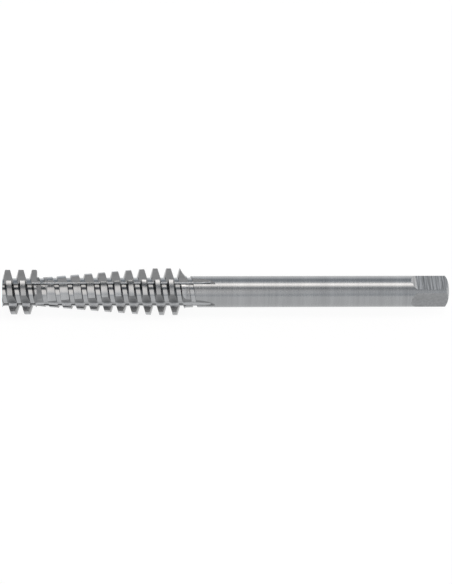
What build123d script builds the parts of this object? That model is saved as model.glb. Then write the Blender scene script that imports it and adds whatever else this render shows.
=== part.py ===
from build123d import *
from math import ceil, cos, floor, radians, sin, sqrt, tan
import os

# Trapezoidal thread tap, Tr 10 x 3, right hand, one piece of ground high-speed steel.
# The tap lies along X with its guide end at -X and its drive square at +X. The origin is on the
# ground under the middle of its length. All lengths are in millimetres, all angles in degrees.

# ---- driving dimensions ----
nominal_diameter = 10.0
pitch = 3.0
flank_angle = 15.0
overall_length = 100.0
cutting_allowance = 0.25
pitch_line_depth = 0.75
root_depth = 1.8

guide_length = 7.65
guide_root_relief = 0.1
guide_corner_radius = 0.35
neck_length = 2.37
neck_above_root = 0.1
lead_length = 23.38
full_thread_length = 6.22
rear_cone_length = 1.25
rear_cone_hollow = 0.12
rear_taper_rise = 0.05
groove_change_past_guide = 1.25
groove_past_thread = 3.4

shank_to_nominal = 0.7
square_to_shank = 11 / 14
square_length = 7.35
square_shoulder_angle = 32.0
square_turn = -14.0

flute_count = 4
land_angle = 37.5
hook_angle = 5.0
flute_below_root = 0.13
flute_past_thread = 7.88
flute_cutter_radius = 32.0
flute_cutter_sweep = 20.0

end_bevel_length = 0.72
end_bevel_mid_length = 0.3
end_bevel_mid_depth = 0.65
end_bevel_depth = 1.5
centre_hole_mouth_radius = 0.9
centre_hole_pilot_radius = 0.4
centre_hole_pilot_length = 1.0
centre_hole_half_angle = 30.0

# Distance from the guide end at which a crest's middle crosses the +Y side.
thread_phase = 0.554
cut_clearance = 0.6

# ---- dependent dimensions ----
crest_radius = nominal_diameter / 2 + cutting_allowance
guide_radius = nominal_diameter / 2
pitch_radius = nominal_diameter / 2 - pitch_line_depth
root_radius = nominal_diameter / 2 - root_depth
guide_root_radius = root_radius - guide_root_relief
neck_radius = root_radius + neck_above_root
shank_radius = nominal_diameter * shank_to_nominal / 2
flute_angle = 360 / flute_count - land_angle
flute_floor_distance = root_radius - flute_below_root

# The lands are turned so that the tap rests on the edges of two of them, with a flute underneath.
rest_half_angle = flute_angle / 2
axis_height = crest_radius * cos(radians(rest_half_angle))
# Cutting edge of the first land, in the plane across the axis, turned from +Y towards +Z.
cutting_edge_angle = -90 + rest_half_angle

cutting_edge_turns = [cutting_edge_angle + 360 / flute_count * i for i in range(flute_count)]

groove_change = guide_length + groove_change_past_guide
lead_start = guide_length + neck_length
full_thread_start = lead_start + lead_length
full_thread_end = full_thread_start + full_thread_length
rear_cone_end = full_thread_end + rear_cone_length
groove_end = full_thread_end + groove_past_thread
flute_end = full_thread_end + flute_past_thread

half_length = overall_length / 2
tap_origin = (-half_length, 0, axis_height)
tap_axis = Axis(tap_origin, (1, 0, 0))
section_plane = Plane(origin=tap_origin, x_dir=(1, 0, 0), z_dir=(0, -1, 0))


def across(distance, turn=0.0):
    """Plane across the axis at a distance from the guide end, its first direction turned about it."""
    return Plane(
        origin=(distance - half_length, 0, axis_height),
        x_dir=(0, cos(radians(turn)), sin(radians(turn))),
        z_dir=(1, 0, 0),
    )


def along(distance, turn):
    """Plane through the axis: its first direction is radial, its second runs along the axis."""
    return Plane(
        origin=(distance - half_length, 0, axis_height),
        x_dir=(0, cos(radians(turn)), sin(radians(turn))),
        z_dir=(0, sin(radians(turn)), -cos(radians(turn))),
    )


def groove_half_width(radius):
    """Half the axial width of the thread groove at a radius."""
    return pitch / 4 + (radius - pitch_radius) * tan(radians(flank_angle))


def turn_at(distance):
    """Turn about the axis at which the middle of the thread groove crosses a distance."""
    return (distance - thread_phase - pitch / 2) * 360 / pitch


def distance_at(turn):
    """Distance from the guide end at which the groove's middle crosses a turn about the axis."""
    return thread_phase + pitch / 2 + turn * pitch / 360


def groove_segment(floor_radius):
    """Solid that cuts the thread groove across one land, about +Z from the first direction."""
    outer_radius = crest_radius + cut_clearance
    with BuildPart() as segment:
        with BuildLine() as path:
            Helix(pitch=pitch, height=pitch * segment_angle / 360, radius=pitch_radius)
        with BuildSketch(Plane.XZ):
            with BuildLine():
                Polyline(
                    (floor_radius, -groove_half_width(floor_radius)),
                    (outer_radius, -groove_half_width(outer_radius)),
                    (outer_radius, groove_half_width(outer_radius)),
                    (floor_radius, groove_half_width(floor_radius)),
                    close=True,
                )
            make_face()
        sweep(path=path.wires()[0], is_frenet=True)
    return segment.part


def groove_places(start, end):
    """Planes at which the groove segments start, one for each land crossed between two distances."""
    first = ceil((turn_at(start) - segment_start) * flute_count / 360)
    last = floor((turn_at(end) - segment_start) * flute_count / 360)
    turns = [segment_start + 360 / flute_count * i for i in range(first, last + 1)]
    return [across(distance_at(turn), turn) for turn in turns]


# Each groove segment begins and ends inside a flute, so its ends leave no mark on the lands.
segment_margin = 1.2
segment_gap = 2.0
segment_angle = 360 / flute_count - segment_gap
segment_start = cutting_edge_angle - segment_margin
guide_cutter = groove_segment(guide_root_radius)
thread_cutter = groove_segment(root_radius)
guide_places = groove_places(-pitch / 2, groove_change)
thread_places = groove_places(groove_change, groove_end)

flute_depth_in_shank = shank_radius - flute_floor_distance
flute_runout_start = flute_end - sqrt(
    2 * flute_cutter_radius * flute_depth_in_shank - flute_depth_in_shank**2
)
flute_corner = (
    flute_floor_distance,
    (crest_radius - flute_floor_distance) * tan(radians(hook_angle)),
)
flute_heel = (
    crest_radius * cos(radians(flute_angle)),
    -crest_radius * sin(radians(flute_angle)),
)
flute_outside = crest_radius + cut_clearance
flute_below = -crest_radius - cut_clearance
heel_slope = (flute_heel[0] - flute_corner[0]) / (flute_heel[1] - flute_corner[1])

square_start = overall_length - square_length
flat_distance = shank_radius * square_to_shank
flat_outside = shank_radius + cut_clearance
shoulder_start = square_start - (flat_outside - flat_distance) / tan(radians(square_shoulder_angle))
centre_cone_length = (centre_hole_mouth_radius - centre_hole_pilot_radius) / tan(
    radians(centre_hole_half_angle)
)
pilot_bottom = centre_cone_length + centre_hole_pilot_length

with BuildPart() as thread_tap:
    # Blank: guide, neck, lead, full thread, rear cone, shank and domed end.
    with BuildSketch(section_plane):
        with BuildLine():
            Polyline(
                (0, 0),
                (0, guide_radius),
                (guide_length - guide_corner_radius, guide_radius),
            )
            TangentArc(
                (guide_length - guide_corner_radius, guide_radius),
                (guide_length, guide_radius - guide_corner_radius),
                tangent=(1, 0),
            )
            Polyline(
                (guide_length, guide_radius - guide_corner_radius),
                (guide_length, neck_radius),
                (lead_start, neck_radius),
                (full_thread_start, crest_radius),
                (full_thread_end, crest_radius),
            )
            SagittaArc(
                (full_thread_end, crest_radius),
                (rear_cone_end, shank_radius + rear_taper_rise),
                -rear_cone_hollow,
            )
            Polyline(
                (rear_cone_end, shank_radius + rear_taper_rise),
                (groove_end, shank_radius),
                (overall_length - end_bevel_length, shank_radius),
                (overall_length - end_bevel_mid_length, shank_radius - end_bevel_mid_depth),
                (overall_length, shank_radius - end_bevel_depth),
                (overall_length, 0),
                (0, 0),
            )
        make_face()
    revolve(axis=tap_axis)

    # Straight flutes: rake face, round corner and heel face, run out into the shank by the cutter.
    for turn in cutting_edge_turns:
        with BuildSketch(across(flute_runout_start, turn)) as flute_section:
            with BuildLine():
                Polyline(
                    flute_corner,
                    (
                        flute_outside,
                        (crest_radius - flute_outside) * tan(radians(hook_angle)),
                    ),
                    (flute_outside, flute_below),
                    (
                        flute_corner[0] + (flute_below - flute_corner[1]) * heel_slope,
                        flute_below,
                    ),
                    close=True,
                )
            make_face()
        extrude(amount=-(flute_runout_start + cut_clearance), mode=Mode.SUBTRACT)
        cutter_plane = across(flute_runout_start, turn)
        cutter_axis = Axis(
            cutter_plane.from_local_coords((flute_floor_distance + flute_cutter_radius, 0, 0)),
            cutter_plane.y_dir,
        )
        revolve(
            flute_section.sketch,
            axis=cutter_axis,
            revolution_arc=flute_cutter_sweep,
            mode=Mode.SUBTRACT,
        )

    # Drive square with slanted shoulders.
    for turn in cutting_edge_turns:
        with BuildSketch(along(0, turn + square_turn)):
            with BuildLine():
                Polyline(
                    (flat_distance, square_start),
                    (flat_distance, overall_length + cut_clearance),
                    (flat_outside, overall_length + cut_clearance),
                    (flat_outside, shoulder_start),
                    close=True,
                )
            make_face()
        extrude(amount=shank_radius, both=True, mode=Mode.SUBTRACT)

    # Centre holes in both ends.
    with BuildSketch(section_plane):
        for end, inward in ((0, 1), (overall_length, -1)):
            with BuildLine():
                Polyline(
                    (end, 0),
                    (end, centre_hole_mouth_radius),
                    (end + inward * centre_cone_length, centre_hole_pilot_radius),
                    (end + inward * pilot_bottom, centre_hole_pilot_radius),
                    (end + inward * pilot_bottom, 0),
                    close=True,
                )
            make_face()
    revolve(axis=tap_axis, mode=Mode.SUBTRACT)

    # Thread.
    with Locations(guide_places):
        add(guide_cutter, mode=Mode.SUBTRACT)
    with Locations(thread_places):
        add(thread_cutter, mode=Mode.SUBTRACT)

thread_tap.part.label = "thread_tap"

os.makedirs("parts", exist_ok=True)
export_step(thread_tap.part, "parts/thread_tap.step")
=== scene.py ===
import math

import bpy
import numpy as np
from bpy.props import FloatProperty, FloatVectorProperty, PointerProperty
from mathutils import Matrix, Vector


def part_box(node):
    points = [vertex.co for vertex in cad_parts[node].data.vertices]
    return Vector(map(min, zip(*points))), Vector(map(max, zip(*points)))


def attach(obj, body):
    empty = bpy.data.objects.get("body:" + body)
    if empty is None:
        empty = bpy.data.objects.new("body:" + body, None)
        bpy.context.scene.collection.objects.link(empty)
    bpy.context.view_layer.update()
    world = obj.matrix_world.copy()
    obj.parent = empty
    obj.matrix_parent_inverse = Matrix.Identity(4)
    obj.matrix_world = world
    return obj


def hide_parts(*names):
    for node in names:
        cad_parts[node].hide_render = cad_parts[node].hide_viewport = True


bl_info = {
    "name": "Trapezoidal thread tap",
    "version": (1, 0, 0),
    "blender": (4, 5, 0),
    "location": "View3D > Sidebar > Thread tap",
    "description": "Finishes a ground steel thread tap and sets it in a plain pale studio",
    "category": "Object",
}

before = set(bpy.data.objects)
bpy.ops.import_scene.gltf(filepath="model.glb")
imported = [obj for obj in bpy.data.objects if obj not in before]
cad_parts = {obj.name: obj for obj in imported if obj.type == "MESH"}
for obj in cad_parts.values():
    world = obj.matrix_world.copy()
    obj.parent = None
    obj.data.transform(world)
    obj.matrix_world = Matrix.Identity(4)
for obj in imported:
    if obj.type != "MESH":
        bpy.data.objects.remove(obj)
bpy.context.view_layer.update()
BOX_LOW, BOX_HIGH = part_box("thread_tap")
TAP_LENGTH = BOX_HIGH[0] - BOX_LOW[0]
AXIS_HEIGHT = (BOX_LOW[2] + BOX_HIGH[2]) / 2
MM = 0.001
HALF_LENGTH = TAP_LENGTH / MM / 2

# Sizes of the tap in millimetres: radii, and distances along its axis from the guide end.
GUIDE_RADIUS = 5.0
GUIDE_ROOT_RADIUS = 3.1
GUIDE_END = 7.65
GUIDE_CORNER = 0.35
NECK_RADIUS = 3.3
LEAD_START = 10.02
THREAD_START = 33.4
THREAD_END = 39.62
CREST_RADIUS = 5.25
PITCH_RADIUS = 4.25
ROOT_RADIUS = 3.2
REAR_CONE_END = 40.87
GROOVE_END = 43.02
SHANK_RADIUS = 3.5
SHANK_TAPER = 0.05
SQUARE_START = 92.65
BEVEL_START = 99.28
BEVEL_MIDDLE = 99.7
BEVEL_MIDDLE_RADIUS = 2.85
BEVEL_END_RADIUS = 2.0
FLANK_ANGLE = math.radians(15)
PITCH = 3.0
# Distance from the guide end at which a crest's middle crosses the +Y side.
THREAD_PHASE = 0.554
# Ratio of a lead crest's radius at its cutting edge to its radius at its heel.
LEAD_RELIEF = 1.07
# How much steeper the relief is than a straight fall from edge to heel.
RELIEF_CURVE = 1.35
# Distances between which the thread's thin ends are ground off.
THIN_START_END = 0.66
THIN_STOP_START = 6.38
UNDER_STOP_START = 7.1
REAR_STOP_START = 39.3
REAR_STOP_END = 42.2
# Where the deeper root behind the guide has ended.
DEEP_ROOT_END = GUIDE_END + 1.3
FLUTE_FLOOR = 3.07
FLUTE_CORNER_RADIUS = 0.7
FLUTE_RUNOUT = 42.27
FLUTE_CUTTER_RADIUS = 32.0
HOOK_ANGLE = math.radians(5)
LAND_ANGLE = math.radians(37.5)
FLUTE_ANGLE = math.radians(52.5)
# How far behind its cutting edge a land's heel face ends, at the bottom of the flute.
HEEL_END = math.radians(75)
CUTTING_EDGE = math.radians(-63.75)
FLUTE_COUNT = 4
# Turn of the square's flats from the cutting edges, and the direction of the two on which the
# milling lines are coarse.
SQUARE_TURN = math.radians(-14)
MILLED_TURN = CUTTING_EDGE + math.pi + SQUARE_TURN
# Longest reach of the square's slanted shoulders before it, and of the centre holes from the axis.
SQUARE_SHOULDER = 4.0
CENTRE_HOLE_REACH = 1.0

# Kinds of ground face, in the order of the material slots.
SHANK, CREST, LEAD, ROOT, FLANK, FLUTE, CORNER, MILLED_FLAT, SQUARE, END = range(10)

# Number of the land that faces the front, counted from the first cutting edge, and of the next.
FRONT_LAND = 2
UNDER_LAND = 3

# How near a triangle's corners and middle lie to the ground face that it belongs to, and the least
# cosine of the angle between its normal and that face's.
OUTLINE_REACH = 0.012
OUTLINE_SAG = 0.06
ROOT_REACH = 0.02
FACE_MATCH = 0.93
FLANK_MATCH = 0.985
# Past this distance no triangle is a root or flank, and up to this one an upright face is a tooth's.
THREAD_LIMIT = GROOVE_END + 1
GUIDE_LIMIT = GUIDE_END + 0.1
# Least part along the tap of the normals of the hollow cone and of a tooth's upright end, and least
# part towards their own direction of the milled flats' normals.
HOLLOW_LEAN = 0.3
UPRIGHT_LEAN = 0.9
FLAT_LEAN = 0.75
# Share by which a corner's distance leans to its triangle's middle, to take the slope on that side.
NUDGE = 0.000001
# Slack of a distance in millimetres, and of turns behind a cutting edge and over a land.
SLACK = 1e-3
EDGE_SLACK = 1e-4
LAND_SLACK = 0.02
# Least lean at which neighbouring faces keep a hard edge, and the grid in metres on which corners
# meet.
HARD_EDGE = math.radians(20)
CORNER_GRID = 2e-6
# How far under the root a tooth that is ground off ends, and twice the area in square metres under
# which a triangle there is dropped.
SUNK = 0.02
SMALLEST_TRIANGLE = 1e-11

# Strips of the flutes' rounded corners: steps across, tries at how wide one fits, spacing along the
# flute, sweep and step of the run-out in degrees, narrowest strip in radians and slack.
CORNER_STEPS = 8
CORNER_TRIES = 40
CORNER_SPACING = 0.2
RUNOUT_SWEEP = 7.6
RUNOUT_STEP = 0.5
NARROWEST_CORNER = 0.02
CORNER_SLACK = 0.004

# Scale of the grinding lines' coordinate along X, Y and Z: lines run where it is least.
AROUND = (4000.0, 150.0, 150.0)
ALONG = (120.0, 6000.0, 6000.0)
CROSSWISE = (3000.0, 900.0, 900.0)
MILLED = (3600.0, 110.0, 110.0)
EVEN = (2500.0, 2500.0, 2500.0)
COARSE = (900.0, 900.0, 900.0)
# Half the span of line height over which the shade changes, and how much contrast narrows it.
LINE_SPAN = 0.3
SPAN_NARROWING = 4
# Share of slow drift in the shade of plainly ground faces, their contrast and their bump.
DRIFT_SHARE = 0.5
PLAIN_CONTRAST = 0.14
PLAIN_BUMP = 0.1
# Height of the lines in metres, and fineness of the drift as a share of theirs.
LINE_HEIGHT = 0.00002
DRIFT_FINENESS = 0.12
# Where the painted shade beside a cutting edge fades, as shares of a quarter turn.
PAINTED_SHADE_START = 0.07
PAINTED_SHADE_END = 0.12
# Strength of the white that the floor shows.
FLOOR_WHITE = 1.05

IMAGE_WIDTH = 452
IMAGE_HEIGHT = 584
# Where in the image the middle of the tap's axis shows, and how large it shows there.
MIDDLE_COLUMN = 226.2
MIDDLE_ROW = 291.66
PIXELS_PER_METRE = 4453
SENSOR_WIDTH = 36.0


# ---- sizes and colours that a user would change ----


class TapFinish(bpy.types.PropertyGroup):
    """Colours and finish of the ground steel."""

    steel_colour: FloatVectorProperty(
        name="Steel",
        description="Colour of the ground high-speed steel",
        subtype="COLOR",
        default=(0.345, 0.352, 0.36),
        min=0,
        max=1,
    )
    shank_roughness: FloatProperty(
        name="Shank roughness",
        description="Roughness of the shank and of the crests of the guide and full thread",
        default=0.26,
        min=0,
        max=1,
    )
    crest_roughness: FloatProperty(
        name="Crest roughness",
        description="Roughness of the relieved crests of the lead",
        default=0.24,
        min=0,
        max=1,
    )
    thread_roughness: FloatProperty(
        name="Thread roughness",
        description="Roughness of the ground flanks and roots",
        default=0.13,
        min=0,
        max=1,
    )
    corner_roughness: FloatProperty(
        name="Flute corner roughness",
        description="Roughness of the rounded corners of the flutes",
        default=0.42,
        min=0,
        max=1,
    )
    flute_roughness: FloatProperty(
        name="Flute roughness",
        description="Roughness of the rake and heel faces",
        default=0.6,
        min=0,
        max=1,
    )
    square_roughness: FloatProperty(
        name="Square roughness",
        description="Roughness of the milled drive square",
        default=0.45,
        min=0,
        max=1,
    )


class StudioSetup(bpy.types.PropertyGroup):
    """Floor, light and camera."""

    floor_colour: FloatVectorProperty(
        name="Floor",
        description="Colour of the floor",
        subtype="COLOR",
        default=(0.85, 0.85, 0.85),
        min=0,
        max=1,
    )
    floor_size: FloatProperty(
        name="Floor size",
        description="Side of the floor",
        subtype="DISTANCE",
        unit="LENGTH",
        default=40.0,
    )
    floor_whiteness: FloatProperty(
        name="Floor whiteness",
        description="How far the floor shows as plain white rather than as lit",
        default=0.88,
        min=0,
        max=1,
    )
    light_level: FloatProperty(
        name="Light level",
        description="Brightness of the studio's light",
        default=1.0,
        min=0,
    )
    camera_elevation: FloatProperty(
        name="Camera elevation",
        description="Angle of the camera above the floor",
        subtype="ANGLE",
        unit="ROTATION",
        default=math.radians(32.75),
    )
    camera_distance: FloatProperty(
        name="Camera distance",
        description="Distance of the camera from the tap",
        subtype="DISTANCE",
        unit="LENGTH",
        default=0.52,
    )
    camera_turn: FloatProperty(
        name="Camera turn",
        description="Turn of the camera towards the guide end",
        subtype="ANGLE",
        unit="ROTATION",
        default=math.radians(2.2),
    )
    camera_roll: FloatProperty(
        name="Camera roll",
        description="Turn of the camera about its line of sight",
        subtype="ANGLE",
        unit="ROTATION",
        default=math.radians(0.117),
    )


# ---- node helpers ----


def add_node(tree, kind, place=(0, 0), **values):
    """Adds a node, sets its own properties and the default values of its inputs."""
    node = tree.nodes.new(kind)
    node.location = place
    for key, value in values.items():
        if hasattr(node, key):
            setattr(node, key, value)
        else:
            node.inputs[key.replace("_", " ")].default_value = value
    return node


def add_math(tree, operation, first, second=None, third=None, place=(0, 0), clamp=False):
    """Adds a Math node whose inputs are sockets or numbers, and returns its output."""
    node = tree.nodes.new("ShaderNodeMath")
    node.location = place
    node.operation = operation
    node.use_clamp = clamp
    for index, value in enumerate((first, second, third)):
        if value is None:
            continue
        if isinstance(value, bpy.types.NodeSocket):
            tree.links.new(value, node.inputs[index])
        else:
            node.inputs[index].default_value = value
    return node.outputs[0]


# ---- the tap's mesh ----


def profile_at(distance):
    """Radius of the blank and the slope of its outline at distances from the guide end."""
    d = distance
    # The guide's rounded end is followed to just short of upright.
    corner = np.clip(d - (GUIDE_END - GUIDE_CORNER), 0, GUIDE_CORNER * 0.999)
    corner_height = np.sqrt(GUIDE_CORNER**2 - corner**2)
    radius = np.full_like(d, SHANK_RADIUS)
    slope = np.zeros_like(d)
    spans = (
        (0, GUIDE_END, GUIDE_RADIUS - GUIDE_CORNER + corner_height, -corner / corner_height),
        (GUIDE_END, LEAD_START, NECK_RADIUS, 0),
    )
    for start, end, value, lean in spans:
        inside = (d >= start) & (d < end)
        radius = np.where(inside, value, radius)
        slope = np.where(inside, lean, slope)
    cones = (
        (LEAD_START, NECK_RADIUS, THREAD_START, CREST_RADIUS),
        (THREAD_START, CREST_RADIUS, THREAD_END, CREST_RADIUS),
        (REAR_CONE_END, SHANK_RADIUS + SHANK_TAPER, GROOVE_END, SHANK_RADIUS),
        (BEVEL_START, SHANK_RADIUS, BEVEL_MIDDLE, BEVEL_MIDDLE_RADIUS),
        (BEVEL_MIDDLE, BEVEL_MIDDLE_RADIUS, TAP_LENGTH / MM + 1e-6, BEVEL_END_RADIUS),
    )
    for start, first, end, last in cones:
        lean = (last - first) / (end - start)
        inside = (d >= start) & (d < end)
        radius = np.where(inside, first + (d - start) * lean, radius)
        slope = np.where(inside, lean, slope)
    return radius, slope


def unit(vectors):
    """The vectors at length one."""
    return vectors / np.maximum(np.linalg.norm(vectors, axis=-1, keepdims=True), 1e-12)


def soft_normals(points, corners, flat, loose):
    """Corner normals of the loose faces, shared with neighbours across soft edges."""
    normals = np.repeat(flat[:, None, :], 3, axis=1)
    keys = {}
    for face in np.flatnonzero(loose):
        for place in range(3):
            key = tuple(np.round(points[corners[face, place]] / CORNER_GRID).astype(int))
            keys.setdefault(key, []).append((face, place))
    limit = math.cos(HARD_EDGE)
    a, b, c = (points[corners[:, i]] for i in range(3))
    area = np.linalg.norm(np.cross(b - a, c - a), axis=1)
    for group in keys.values():
        faces = [face for face, place in group]
        for face, place in group:
            near = [f for f in faces if flat[f] @ flat[face] > limit]
            normals[face, place] = unit((flat[near] * area[near][:, None]).sum(axis=0))
    return normals


def lead_rise(radius):
    """How far a crest of the lead stands above its heel at its cutting edge."""
    return np.maximum(np.minimum(CREST_RADIUS, radius * LEAD_RELIEF) - radius, 0)


def tap_places(points):
    """Distance from the guide end, place across the axis and radius of points, in millimetres."""
    x = points[:, 0] / MM + HALF_LENGTH
    y = points[:, 1] / MM
    z = (points[:, 2] - AXIS_HEIGHT) / MM
    return x, y, z, np.hypot(y, z)


def sort_faces(points, corners):
    """Kind of ground face and true corner normals for every triangle of the tap."""
    x, y, z, radius = tap_places(points)
    radial = np.stack([np.zeros_like(y), y, z], axis=1) / np.maximum(radius, 1e-9)[:, None]
    around = np.stack([np.zeros_like(y), -radial[:, 2], radial[:, 1]], axis=1)
    axial = np.array([1.0, 0.0, 0.0])
    a, b, c = (points[corners[:, i]] for i in range(3))
    flat = unit(np.cross(b - a, c - a))
    middle_x = x[corners].mean(axis=1)
    middle_radius = np.hypot(y[corners].mean(axis=1), z[corners].mean(axis=1))
    middle_radial = unit(radial[corners].sum(axis=1))
    lean_out = (flat * middle_radial).sum(axis=1)

    kind = np.full(len(corners), FLUTE)
    normals = np.zeros((len(corners), 3, 3))
    done = np.zeros(len(corners), bool)

    # Outline of the blank: the slope is taken at each corner in the guide, whose end is rounded, and
    # at the triangle's own middle elsewhere.
    expected, slope = profile_at(x[corners] * (1 - NUDGE) + middle_x[:, None] * NUDGE)
    _, middle_slope = profile_at(middle_x)
    use = np.where((middle_x < GUIDE_END)[:, None], slope, middle_slope[:, None])
    hollow = (middle_x > THREAD_END) & (middle_x < REAR_CONE_END)
    outline = radial[corners] - use[:, :, None] * axial
    on_outline = (np.abs(radius[corners] - expected) < OUTLINE_REACH).all(axis=1) & ~hollow
    on_outline &= (unit(outline.sum(axis=1)) * flat).sum(axis=1) > FACE_MATCH
    on_outline &= np.abs(middle_radius - profile_at(middle_x)[0]) < OUTLINE_SAG
    fall = lead_rise(radius[corners]) / (LAND_ANGLE * radius[corners])
    relieved = ((middle_x > LEAD_START) & (middle_x < THREAD_START))[:, None]
    outline = outline + np.where(relieved, fall * RELIEF_CURVE, 0)[:, :, None] * around[corners]
    normals[on_outline] = unit(outline)[on_outline]
    kind[on_outline] = np.select(
        [middle_x[on_outline] < limit for limit in (GUIDE_END, LEAD_START, THREAD_START, REAR_CONE_END)],
        [CREST, END, LEAD, CREST],
        SHANK,
    )
    done |= on_outline

    # Roots of the thread groove.
    root = np.where(middle_x < DEEP_ROOT_END, GUIDE_ROOT_RADIUS, ROOT_RADIUS)[:, None]
    on_root = (np.abs(radius[corners] - root) < ROOT_REACH).all(axis=1) & (lean_out > FACE_MATCH) & ~done
    on_root &= middle_x < THREAD_LIMIT
    normals[on_root] = radial[corners][on_root]
    kind[on_root] = ROOT
    done |= on_root

    # Flanks of the thread groove: true helicoids.
    lead = PITCH / (2 * math.pi * np.maximum(radius, 1e-9))
    side = np.sign(flat[:, 0])[:, None, None]
    helicoid = side * axial + math.tan(FLANK_ANGLE) * radial[corners]
    helicoid = unit(helicoid - side * lead[corners][:, :, None] * around[corners])
    near = (unit(helicoid.sum(axis=1)) * flat).sum(axis=1) > FLANK_MATCH
    on_flank = near & ~done & (middle_x < THREAD_LIMIT)
    normals[on_flank] = helicoid[on_flank]
    kind[on_flank] = FLANK
    done |= on_flank

    rest = ~done
    soft = soft_normals(points, corners, flat, rest)
    normals[rest] = soft[rest]
    kind[rest & hollow & (flat[:, 0] > HOLLOW_LEAN)] = CREST
    upright = rest & (middle_x < GUIDE_LIMIT) & (np.abs(flat[:, 0]) > UPRIGHT_LEAN)
    kind[upright] = CREST
    on_square = rest & (middle_x > SQUARE_START - SQUARE_SHOULDER)
    kind[on_square] = SQUARE
    milled = Vector((math.cos(MILLED_TURN), math.sin(MILLED_TURN)))
    facing = np.abs(flat[:, 1] * milled.x + flat[:, 2] * milled.y)
    kind[on_square & (facing > FLAT_LEAN)] = MILLED_FLAT
    flat_end = rest & ((middle_x < SLACK) | (middle_x > TAP_LENGTH / MM - SLACK))
    hole = rest & (radius[corners].max(axis=1) < CENTRE_HOLE_REACH)
    kind[flat_end | hole] = END
    return kind, normals


def relieve_and_blunt(points):
    """Raises the lead's crests towards their cutting edges and takes off the thread's thin ends."""
    x, y, z, radius = tap_places(points)
    turn = np.arctan2(z, y)
    quarter = 2 * math.pi / FLUTE_COUNT
    behind = (turn - CUTTING_EDGE + EDGE_SLACK) % quarter
    land = np.floor((turn - CUTTING_EDGE + EDGE_SLACK) / quarter) % FLUTE_COUNT
    on_land = behind < LAND_ANGLE + LAND_SLACK
    expected, _ = profile_at(x)
    in_lead = (x > LEAD_START - SLACK) & (x < THREAD_START) & on_land
    in_lead &= np.abs(radius - expected) < OUTLINE_REACH
    rise = np.where(in_lead, lead_rise(expected) * np.clip(1 - behind / LAND_ANGLE, 0, 1), 0)
    crest_middle = THREAD_PHASE + turn / (2 * math.pi) * PITCH
    side = np.sign((x - crest_middle + PITCH / 2) % PITCH - PITCH / 2)
    moved_x = x - side * rise * math.tan(FLANK_ANGLE)
    moved_radius = radius + rise

    # The land under the front one loses the guide thread's start and stop, and the front one keeps
    # a low block where the guide's thread and the full thread stop.
    with_heel = behind < HEEL_END
    in_stop = (x > UNDER_STOP_START) & (x < GUIDE_END + SLACK)
    off = ((x < THIN_START_END) | in_stop) & (land == UNDER_LAND) & with_heel
    off &= radius > GUIDE_ROOT_RADIUS + SLACK
    block = (x > THIN_STOP_START) & (x < GUIDE_END + SLACK)
    block |= (x > REAR_STOP_START) & (x < REAR_STOP_END)
    block &= (land == FRONT_LAND) & with_heel & (radius > NECK_RADIUS)
    moved_radius = np.where(block, NECK_RADIUS, moved_radius)
    moved_radius = np.where(off, GUIDE_ROOT_RADIUS - SUNK, moved_radius)
    moved = points.copy()
    moved[:, 0] = (moved_x - HALF_LENGTH) * MM
    moved[:, 1] = moved_radius * np.cos(turn) * MM
    moved[:, 2] = moved_radius * np.sin(turn) * MM + AXIS_HEIGHT
    return moved, off | block


def flute_corners():
    """Rounded corners between the rake and heel faces, along the flutes and out through their run-outs."""
    corner = Vector((FLUTE_FLOOR, (CREST_RADIUS - FLUTE_FLOOR) * math.tan(HOOK_ANGLE)))
    heel_end = Vector((CREST_RADIUS * math.cos(FLUTE_ANGLE), -CREST_RADIUS * math.sin(FLUTE_ANGLE)))
    heel = (heel_end - corner).normalized()
    rake = (Vector((CREST_RADIUS, 0)) - corner).normalized()
    half = heel.angle(rake) / 2
    centre = corner + (heel + rake).normalized() * (FLUTE_CORNER_RADIUS / math.sin(half))
    first = math.atan2(heel.x, -heel.y)
    sweep = math.pi - 2 * half
    rows = [(x, 0.0) for x in np.arange(0, FLUTE_RUNOUT, CORNER_SPACING)]
    rows += [(FLUTE_RUNOUT, lift) for lift in np.radians(np.arange(0, RUNOUT_SWEEP, RUNOUT_STEP))]
    points, normals, faces = [], [], []
    for flute in range(FLUTE_COUNT):
        turn = CUTTING_EDGE + flute * 2 * math.pi / FLUTE_COUNT
        base = len(points)
        widths = []
        for x, lift in rows:
            limit = radius_limit(x, turn) if lift == 0 else SHANK_RADIUS
            angles = [first - sweep * i / CORNER_TRIES for i in range(CORNER_TRIES + 1)]
            free = 0
            for angle in angles:
                place = centre - Vector((math.cos(angle), math.sin(angle))) * FLUTE_CORNER_RADIUS
                if lift_point(place, lift)[0].length > limit + CORNER_SLACK:
                    break
                free = first - angle
            widths.append(free)
            for i in range(CORNER_STEPS + 1):
                angle = first - free * i / CORNER_STEPS
                normal = Vector((math.cos(angle), math.sin(angle)))
                place, along = lift_point(centre - normal * FLUTE_CORNER_RADIUS, lift)
                y = place.x * math.cos(turn) - place.y * math.sin(turn)
                z = place.x * math.sin(turn) + place.y * math.cos(turn)
                points.append(((x + along) * MM - TAP_LENGTH / 2, y * MM, z * MM + AXIS_HEIGHT))
                ny = normal.x * math.cos(turn) - normal.y * math.sin(turn)
                nz = normal.x * math.sin(turn) + normal.y * math.cos(turn)
                normals.append((0.0, ny, nz))
        for row in range(len(rows) - 1):
            if min(widths[row], widths[row + 1]) < NARROWEST_CORNER:
                continue
            for i in range(CORNER_STEPS):
                a = base + row * (CORNER_STEPS + 1) + i
                faces.append((a, a + 1, a + CORNER_STEPS + 2, a + CORNER_STEPS + 1))
    return points, normals, faces


def lift_point(place, lift):
    """New place of a point of the flute's section, carried round the cutter's axis, and its step along."""
    reach = FLUTE_FLOOR + FLUTE_CUTTER_RADIUS
    arm = reach - place.x
    return Vector((reach - arm * math.cos(lift), place.y)), arm * math.sin(lift)


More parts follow.
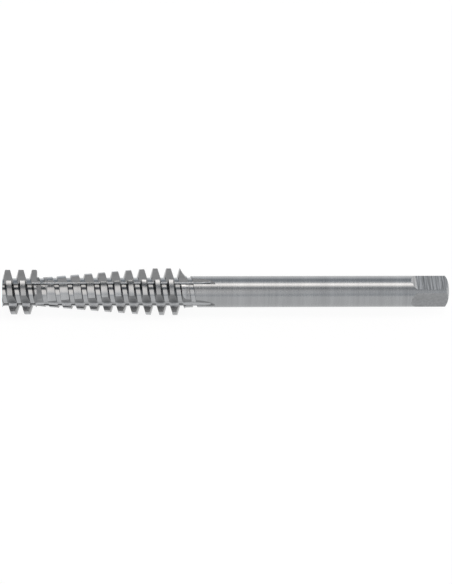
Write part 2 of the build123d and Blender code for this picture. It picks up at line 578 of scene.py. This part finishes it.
def radius_limit(x, turn):
    """Radius up to which there is steel on a cutting edge's plane at a distance from the guide end."""
    root = GUIDE_ROOT_RADIUS if x < DEEP_ROOT_END else ROOT_RADIUS
    if GUIDE_END < x < LEAD_START:
        root = min(root, NECK_RADIUS)
    groove_middle = THREAD_PHASE + PITCH / 2 + turn / (2 * math.pi) * PITCH
    away = abs((x - groove_middle + PITCH / 2) % PITCH - PITCH / 2)
    flank = PITCH_RADIUS + (away - PITCH / 4) / math.tan(FLANK_ANGLE)
    top = float(profile_at(np.array([x]))[0][0])
    return max(root, min(flank, top)) if x < GROOVE_END else SHANK_RADIUS


def ground_mesh():
    """The tap's mesh with its faces sorted by the way they were ground and with true normals."""
    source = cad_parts["thread_tap"].data
    points = np.empty(len(source.vertices) * 3)
    source.vertices.foreach_get("co", points)
    points = points.reshape(-1, 3)
    corners = np.empty(len(source.loops), int)
    source.loops.foreach_get("vertex_index", corners)
    corners = corners.reshape(-1, 3)
    kind, normals = sort_faces(points, corners)
    points, cut = relieve_and_blunt(points)
    touched = cut[corners].any(axis=1)
    a, b, c = (points[corners[:, i]] for i in range(3))
    cross = np.cross(b - a, c - a)
    # Triangles that the grinding-off left whole are flat now, and the ones it closed up are dropped.
    whole = touched & (np.linalg.norm(cross, axis=1) > SMALLEST_TRIANGLE)
    normals[whole] = unit(cross)[whole][:, None, :]
    # What is left of a crest there has the finish of the lead's crests.
    kind[whole & (kind == CREST)] = LEAD
    keep = ~touched | whole
    corners, normals, kind = corners[keep], normals[keep], kind[keep]

    extra_points, extra_normals, extra_faces = flute_corners()
    offset = len(points)
    vertices = points.tolist() + extra_points
    faces = corners.tolist() + [[offset + i for i in face] for face in extra_faces]
    mesh = bpy.data.meshes.new("ground_tap")
    mesh.from_pydata(vertices, [], faces)
    kinds = np.concatenate([kind, np.full(len(extra_faces), CORNER)]).astype(np.int32)
    mesh.polygons.foreach_set("use_smooth", np.ones(len(kinds), bool))
    mesh.polygons.foreach_set("material_index", kinds)
    loop_normals = normals.reshape(-1, 3).tolist()
    loop_normals += [extra_normals[i] for face in extra_faces for i in face]
    mesh.normals_split_custom_set(loop_normals)
    return mesh


# ---- the tap's materials ----


def grinding_lines():
    """Node group: fine lines that follow a stretched coordinate, with slow changes of shade."""
    group = bpy.data.node_groups.new("grinding_lines", "ShaderNodeTree")
    face = group.interface
    face.new_socket("Vector", in_out="INPUT", socket_type="NodeSocketVector")
    face.new_socket("Fineness", in_out="INPUT", socket_type="NodeSocketFloat").default_value = 1.0
    face.new_socket("Lines", in_out="OUTPUT", socket_type="NodeSocketFloat")
    face.new_socket("Drift", in_out="OUTPUT", socket_type="NodeSocketFloat")
    start = add_node(group, "NodeGroupInput", (-600, 0))
    end = add_node(group, "NodeGroupOutput", (400, 0))
    lines = add_node(group, "ShaderNodeTexNoise", (-200, 100), Detail=4.0, Roughness=0.7)
    drift = add_node(group, "ShaderNodeTexNoise", (-200, -150), Detail=2.0)
    slow = add_math(group, "MULTIPLY", start.outputs["Fineness"], DRIFT_FINENESS, place=(-400, -150))
    group.links.new(start.outputs["Vector"], lines.inputs["Vector"])
    group.links.new(start.outputs["Vector"], drift.inputs["Vector"])
    group.links.new(start.outputs["Fineness"], lines.inputs["Scale"])
    group.links.new(slow, drift.inputs["Scale"])
    group.links.new(lines.outputs["Fac"], end.inputs["Lines"])
    group.links.new(drift.outputs["Fac"], end.inputs["Drift"])
    return group


def painted_edge_shade(tree, place, depth):
    """Painted shade of a face beside the cutting edges: its colour is darkened for the first few degrees
    behind each one.
    """
    parts = add_node(tree, "ShaderNodeSeparateXYZ", (-900, 500))
    tree.links.new(place.outputs["Object"], parts.inputs[0])
    height = add_math(tree, "SUBTRACT", parts.outputs["Z"], AXIS_HEIGHT, place=(-750, 450))
    turn = add_math(tree, "ARCTAN2", height, parts.outputs["Y"], place=(-600, 500))
    quarters = add_math(tree, "SUBTRACT", turn, CUTTING_EDGE, place=(-450, 500))
    quarters = add_math(tree, "MULTIPLY", quarters, FLUTE_COUNT / (2 * math.pi), place=(-300, 500))
    behind = add_math(tree, "FRACT", quarters, place=(-150, 500))
    shade = add_node(tree, "ShaderNodeMapRange", (0, 500), interpolation_type="SMOOTHSTEP")
    shade.inputs["From Min"].default_value = PAINTED_SHADE_START
    shade.inputs["From Max"].default_value = PAINTED_SHADE_END
    shade.inputs["To Min"].default_value = depth
    tree.links.new(behind, shade.inputs["Value"])
    return shade.outputs["Result"]


def ground_steel(
    name,
    group,
    colour,
    roughness,
    stretch,
    spread=0.0,
    shade=1.0,
    contrast=PLAIN_CONTRAST,
    edge=1.0,
    bump=PLAIN_BUMP,
):
    """Ground steel with lines along the direction in which the coordinate is least stretched.

    Spread widens the gloss along the tap, shade scales the colour as painted light above one and painted
    shade below it, contrast is how far the lines change it, edge is the painted shade beside the cutting
    edges and bump how deep the lines look.
    """
    material = bpy.data.materials.new(name)
    material.use_nodes = True
    tree = material.node_tree
    shader = tree.nodes["Principled BSDF"]
    shader.inputs["Metallic"].default_value = 1.0
    place = add_node(tree, "ShaderNodeTexCoord", (-1100, 0))
    mapping = add_node(tree, "ShaderNodeMapping", (-900, 0))
    mapping.inputs["Scale"].default_value = stretch
    lines = add_node(tree, "ShaderNodeGroup", (-700, 0))
    lines.node_tree = group
    shader.inputs["Anisotropic"].default_value = spread
    if spread:
        # Light spreads across the lines, which run round the axis.
        shader.inputs["Anisotropic Rotation"].default_value = 0.25
        tangent = add_node(tree, "ShaderNodeTangent", (-250, -500), direction_type="RADIAL", axis="X")
        tree.links.new(tangent.outputs["Tangent"], shader.inputs["Tangent"])
    tree.links.new(place.outputs["Object"], mapping.inputs["Vector"])
    tree.links.new(mapping.outputs["Vector"], lines.inputs["Vector"])
    ramp = add_node(tree, "ShaderNodeValToRGB", (-450, 150))
    steel = Vector(colour) * shade
    span = LINE_SPAN / (1 + contrast * SPAN_NARROWING)
    for stop, side in zip(ramp.color_ramp.elements, (-1, 1)):
        stop.position = 0.5 + side * span
        stop.color = (*(steel * (1 + side * contrast)), 1)
    # Slow drift of shade counts for less where the lines themselves stand out.
    drift = min(DRIFT_SHARE, DRIFT_SHARE * PLAIN_CONTRAST / contrast)
    fine = add_math(tree, "MULTIPLY", lines.outputs["Lines"], 1 - drift, place=(-700, 200))
    mixed = add_math(tree, "MULTIPLY_ADD", lines.outputs["Drift"], drift, fine, place=(-600, 150))
    tree.links.new(mixed, ramp.inputs["Fac"])
    shaded = ramp.outputs["Color"]
    # Painted shade: the colour is darkened for the first few degrees behind each cutting edge.
    if edge < 1:
        darkened = add_node(tree, "ShaderNodeVectorMath", (-100, 250), operation="SCALE")
        tree.links.new(shaded, darkened.inputs[0])
        tree.links.new(painted_edge_shade(tree, place, edge), darkened.inputs["Scale"])
        shaded = darkened.outputs[0]
    tree.links.new(shaded, shader.inputs["Base Color"])
    # The lines take the roughness from three quarters to five quarters of its value.
    swing, least = roughness * 0.5, roughness * 0.75
    rough = add_math(tree, "MULTIPLY_ADD", lines.outputs["Lines"], swing, least, place=(-450, -100))
    tree.links.new(rough, shader.inputs["Roughness"])
    relief = add_node(tree, "ShaderNodeBump", (-250, -300), Strength=bump, Distance=LINE_HEIGHT)
    tree.links.new(lines.outputs["Lines"], relief.inputs["Height"])
    tree.links.new(relief.outputs["Normal"], shader.inputs["Normal"])
    return material


class TAP_OT_finish_steel(bpy.types.Operator):
    """Builds the tap with its ground faces and gives each kind its finish"""

    bl_idname = "thread_tap.finish_steel"
    bl_label = "Finish the tap"

    def execute(self, context):
        finish = context.scene.tap_finish
        tap = bpy.data.objects.new("ground_tap", ground_mesh())
        context.scene.collection.objects.link(tap)
        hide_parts("thread_tap")
        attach(tap, "root")
        steel = grinding_lines(), finish.steel_colour
        shank, crest, thread = finish.shank_roughness, finish.crest_roughness, finish.thread_roughness
        flute, square = finish.flute_roughness, finish.square_roughness
        # One for each kind of ground face, in the same order. Each is a lighter or darker copy of the one
        # steel colour: a shade over one is painted light, a shade under one painted shade, and the roots
        # also get painted shade beside the cutting edges.
        finishes = (
            ground_steel("ground_shank", *steel, shank, AROUND),
            ground_steel("ground_crests", *steel, shank, AROUND),
            # Painted light: the lead's crests are made lighter than the steel.
            ground_steel("relieved_crests", *steel, crest, AROUND, spread=0.3, shade=1.15),
            # Painted light on the roots, with painted shade beside the cutting edges.
            ground_steel("ground_roots", *steel, thread, CROSSWISE, shade=1.1, edge=0.55),
            # Painted shade: the flanks' colour is cut to about a fifth of the steel's, so they show near
            # black.
            ground_steel("ground_flanks", *steel, thread, CROSSWISE, shade=0.22),
            ground_steel("ground_flutes", *steel, flute, ALONG, shade=0.78, bump=0.2),
            # Painted light: the flute corners' colour is raised well above the steel's.
            ground_steel("flute_corners", *steel, finish.corner_roughness, ALONG, shade=1.35),
            ground_steel("milled_flats", *steel, square, MILLED, shade=1.12, contrast=0.5, bump=1.0),
            ground_steel("ground_flats", *steel, square, EVEN, shade=0.85, contrast=0.24, bump=0.5),
            ground_steel("turned_ends", *steel, square, COARSE, shade=0.9, bump=0.3),
        )
        for material in finishes:
            tap.data.materials.append(material)
        return {"FINISHED"}


# ---- the studio ----

# Brightness of the studio at angles above the front horizon, in degrees, over the top to the back:
# a reflector in front, a dark flag, a softbox overhead and a dimmer back. The thread and the shank
# have their own reflector and softbox, and both sides and the square's end have theirs.
THREAD_TONES = (
    (0, 0.7),
    (20, 1.5),
    (46, 1.6),
    (56, 0.1),
    (71, 0.1),
    (84, 2.8),
    (91, 2.8),
    (100, 1.1),
    (115, 0.5),
    (140, 0.4),
    (160, 1.0),
    (180, 1.0),
)
SHANK_TONES = (
    (0, 0.5),
    (30, 0.7),
    (55, 0.3),
    (68, 0.9),
    (80, 2.8),
    (92, 3.2),
    (100, 0.7),
    (130, 0.4),
    (150, 1.0),
    (180, 1.2),
)
SIDE_TONES = (
    (0, 0.8),
    (30, 0.65),
    (48, 0.35),
    (60, 0.12),
    (90, 0.3),
    (120, 0.15),
    (150, 0.3),
    (180, 0.7),
)
END_TONES = (
    (0, 1.3),
    (50, 1.6),
    (90, 2.2),
    (180, 0.9),
)
# How far along the tap a direction points where the shank's part of the studio, the sides and the
# square's end take over.
SHANK_LIMITS = (0.015, 0.03)
SIDE_LIMITS = (0.26, 0.44)
END_LIMITS = (0.56, 0.72)
BRIGHTEST = 5.0
# Tint of the dark and of the bright parts of the studio, and the brightness that is fully warm.
COOL_TINT = (0.88, 1.0, 1.13)
WARM_TINT = (1.05, 1.0, 0.955)
WARM_TONE = 1.6


def tone_ramp(tree, share, tones, place):
    """Colour ramp of the studio's brightness over half a turn about the tap's axis."""
    ramp = add_node(tree, "ShaderNodeValToRGB", place)
    stops = ramp.color_ramp
    while len(stops.elements) < len(tones):
        stops.elements.new(1.0)
    for stop, (degrees, tone) in zip(stops.elements, tones):
        stop.position = degrees / 180
        tint = Vector(COOL_TINT).lerp(Vector(WARM_TINT), min(tone / WARM_TONE, 1))
        stop.color = (*(tint * (tone / BRIGHTEST)), 1)
    tree.links.new(share, ramp.inputs["Fac"])
    return ramp.outputs["Color"]


def build_world(level):
    """Soft light that changes with the angle about the tap's axis, as a softbox and flags give."""
    world = bpy.data.worlds.new("studio")
    world.use_nodes = True
    tree = world.node_tree
    tree.nodes.clear()
    output = add_node(tree, "ShaderNodeOutputWorld", (900, 0))
    background = add_node(tree, "ShaderNodeBackground", (700, 0))
    background.inputs["Strength"].default_value = level * BRIGHTEST
    direction = add_node(tree, "ShaderNodeTexCoord", (-700, 0))
    parts = add_node(tree, "ShaderNodeSeparateXYZ", (-500, 0))
    tree.links.new(direction.outputs["Generated"], parts.inputs[0])
    front = add_math(tree, "MULTIPLY", parts.outputs["Y"], -1.0, place=(-300, -100))
    angle = add_math(tree, "ARCTAN2", parts.outputs["Z"], front, place=(-100, 0))
    share = add_math(tree, "DIVIDE", angle, math.pi, place=(100, 0), clamp=True)
    aside = add_math(tree, "ABSOLUTE", parts.outputs["X"], place=(-300, 200))
    shade = tone_ramp(tree, share, THREAD_TONES, (250, 300))
    for tones, along, (start, end) in (
        (SHANK_TONES, parts.outputs["X"], SHANK_LIMITS),
        (SIDE_TONES, aside, SIDE_LIMITS),
        (END_TONES, parts.outputs["X"], END_LIMITS),
    ):
        edge = add_node(tree, "ShaderNodeMapRange", (-100, 250), interpolation_type="SMOOTHSTEP")
        edge.inputs["From Min"].default_value = start
        edge.inputs["From Max"].default_value = end
        tree.links.new(along, edge.inputs["Value"])
        mixed = add_node(tree, "ShaderNodeMix", (550, 0), data_type="RGBA")
        tree.links.new(edge.outputs["Result"], mixed.inputs[0])
        tree.links.new(shade, mixed.inputs[6])
        tree.links.new(tone_ramp(tree, share, tones, (250, -150)), mixed.inputs[7])
        shade = mixed.outputs[2]
    tree.links.new(shade, background.inputs["Color"])
    tree.links.new(background.outputs[0], output.inputs[0])
    return world


def floor_material(setup):
    """White floor that keeps the tap's soft shadow, whitened where the camera or a reflection sees it."""
    material = bpy.data.materials.new("floor")
    material.use_nodes = True
    tree = material.node_tree
    tree.nodes.clear()
    output = add_node(tree, "ShaderNodeOutputMaterial", (600, 0))
    mix = add_node(tree, "ShaderNodeMixShader", (400, 0))
    diffuse = add_node(tree, "ShaderNodeBsdfDiffuse", (200, 100), Color=(*setup.floor_colour, 1))
    white = add_node(tree, "ShaderNodeEmission", (200, -100), Strength=FLOOR_WHITE)
    path = add_node(tree, "ShaderNodeLightPath", (-200, 0))
    seen = path.outputs["Is Camera Ray"]
    for column, ray in enumerate(("Is Glossy Ray", "Is Transmission Ray")):
        seen = add_math(tree, "MAXIMUM", seen, path.outputs[ray], place=(column * 100, 0))
    share = add_math(tree, "MULTIPLY", seen, setup.floor_whiteness, place=(200, 0))
    tree.links.new(share, mix.inputs[0])
    tree.links.new(diffuse.outputs[0], mix.inputs[1])
    tree.links.new(white.outputs[0], mix.inputs[2])
    tree.links.new(mix.outputs[0], output.inputs[0])
    return material


class TAP_OT_build_studio(bpy.types.Operator):
    """Builds the floor and the soft light"""

    bl_idname = "thread_tap.build_studio"
    bl_label = "Build the studio"

    def execute(self, context):
        setup = context.scene.studio_setup
        half = setup.floor_size / 2
        mesh = bpy.data.meshes.new("floor")
        corners = [(-half, -half, 0), (half, -half, 0), (half, half, 0), (-half, half, 0)]
        mesh.from_pydata(corners, [], [(0, 1, 2, 3)])
        floor = bpy.data.objects.new("floor", mesh)
        floor.data.materials.append(floor_material(setup))
        context.scene.collection.objects.link(floor)
        context.scene.world = build_world(setup.light_level)
        return {"FINISHED"}


class TAP_OT_place_camera(bpy.types.Operator):
    """Places the camera"""

    bl_idname = "thread_tap.place_camera"
    bl_label = "Place the camera"

    def execute(self, context):
        setup = context.scene.studio_setup
        elevation = setup.camera_elevation
        aside = setup.camera_turn
        level = Vector((0, -math.cos(elevation), math.sin(elevation)))
        back = level * math.cos(aside) + Vector((-math.sin(aside), 0, 0))
        up = Vector((0, math.sin(elevation), math.cos(elevation)))
        right = up.cross(back)
        columns = MIDDLE_COLUMN - IMAGE_WIDTH / 2
        rows = MIDDLE_ROW - IMAGE_HEIGHT / 2
        target = Vector((0, 0, AXIS_HEIGHT)) + (up * rows - right * columns) / PIXELS_PER_METRE
        lens = bpy.data.cameras.new("camera")
        lens.sensor_width = SENSOR_WIDTH
        lens.lens = SENSOR_WIDTH * setup.camera_distance * PIXELS_PER_METRE / IMAGE_HEIGHT
        lens.clip_start = 0.01
        lens.clip_end = 100.0
        camera = bpy.data.objects.new("camera", lens)
        context.scene.collection.objects.link(camera)
        turn = Matrix((right, up, back)).transposed().to_4x4()
        roll = Matrix.Rotation(-setup.camera_roll, 4, "Z")
        camera.matrix_world = Matrix.Translation(target + back * setup.camera_distance) @ turn @ roll
        context.scene.camera = camera
        return {"FINISHED"}


class TAP_PT_panel(bpy.types.Panel):
    """Lists what builds the scene"""

    bl_label = "Thread tap"
    bl_idname = "TAP_PT_panel"
    bl_space_type = "VIEW_3D"
    bl_region_type = "UI"
    bl_category = "Thread tap"

    def draw(self, context):
        layout = self.layout
        for group in (context.scene.tap_finish, context.scene.studio_setup):
            box = layout.box()
            for name in group.__annotations__:
                box.prop(group, name)
        for operator in OPERATORS:
            layout.operator(operator.bl_idname)


GROUPS = (TapFinish, StudioSetup)
OPERATORS = (TAP_OT_finish_steel, TAP_OT_build_studio, TAP_OT_place_camera)


def register():
    for item in GROUPS + OPERATORS + (TAP_PT_panel,):
        bpy.utils.register_class(item)
    bpy.types.Scene.tap_finish = PointerProperty(type=TapFinish)
    bpy.types.Scene.studio_setup = PointerProperty(type=StudioSetup)


def unregister():
    del bpy.types.Scene.studio_setup
    del bpy.types.Scene.tap_finish
    for item in reversed(GROUPS + OPERATORS + (TAP_PT_panel,)):
        bpy.utils.unregister_class(item)


def main():
    register()
    bpy.context.scene.view_settings.view_transform = "Standard"
    bpy.ops.thread_tap.finish_steel()
    bpy.ops.thread_tap.build_studio()
    bpy.ops.thread_tap.place_camera()


if __name__ == "__main__":
    main()
